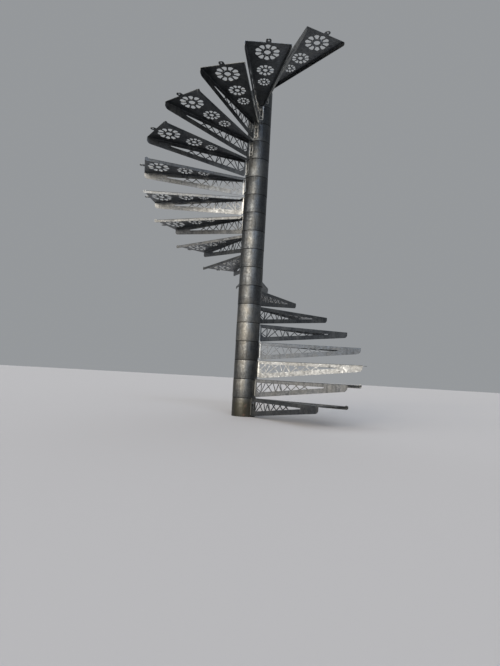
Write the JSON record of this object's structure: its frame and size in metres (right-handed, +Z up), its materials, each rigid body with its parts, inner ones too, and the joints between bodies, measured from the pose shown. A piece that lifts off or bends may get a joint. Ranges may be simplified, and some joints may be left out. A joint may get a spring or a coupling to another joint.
{
  "type": "spiral staircase",
  "caption": "Spiral staircase of folded galvanised sheet treads with cut-out rosettes and lattice riser flanges, stacked on a round column, without railing.",
  "frame": {"origin": "middle of the column's foot on the floor", "axes": "+Z up along the column; the lowest tread points to the front right (+X, -Y) and the stair climbs counter-clockwise seen from above"},
  "size_m": [2.3273, 2.3551, 3.355],
  "materials": {
    "galvanised_tread": "hot-dip galvanised sheet, dull grey with faint spangle",
    "galvanised_collar": "hot-dip galvanised, satin grey with spangle",
    "pole_steel": "plain galvanised steel",
    "zinc_bolt": "bright zinc plated"
  },
  "bodies": {
    "root": {"base_plate": "pole_steel", "pole": "pole_steel", "top_cap": "galvanised_collar", "top_bolt": "zinc_bolt", "collar_01": "galvanised_collar", "collar_02": "galvanised_collar", "collar_03": "galvanised_collar", "collar_04": "galvanised_collar", "collar_05": "galvanised_collar", "collar_06": "galvanised_collar", "collar_07": "galvanised_collar", "collar_08": "galvanised_collar", "collar_09": "galvanised_collar", "collar_10": "galvanised_collar", "collar_11": "galvanised_collar", "collar_12": "galvanised_collar", "collar_13": "galvanised_collar", "collar_14": "galvanised_collar", "collar_15": "galvanised_collar", "collar_16": "galvanised_collar", "collar_17": "galvanised_collar", "collar_18": "galvanised_collar", "tread_01": "galvanised_tread", "tread_02": "galvanised_tread", "tread_03": "galvanised_tread", "tread_04": "galvanised_tread", "tread_05": "galvanised_tread", "tread_06": "galvanised_tread", "tread_07": "galvanised_tread", "tread_08": "galvanised_tread", "tread_09": "galvanised_tread", "tread_10": "galvanised_tread", "tread_11": "galvanised_tread", "tread_12": "galvanised_tread", "tread_13": "galvanised_tread", "tread_14": "galvanised_tread", "tread_15": "galvanised_tread", "tread_16": "galvanised_tread", "tread_17": "galvanised_tread", "tread_18": "galvanised_tread"}
  },
  "joints": []
}
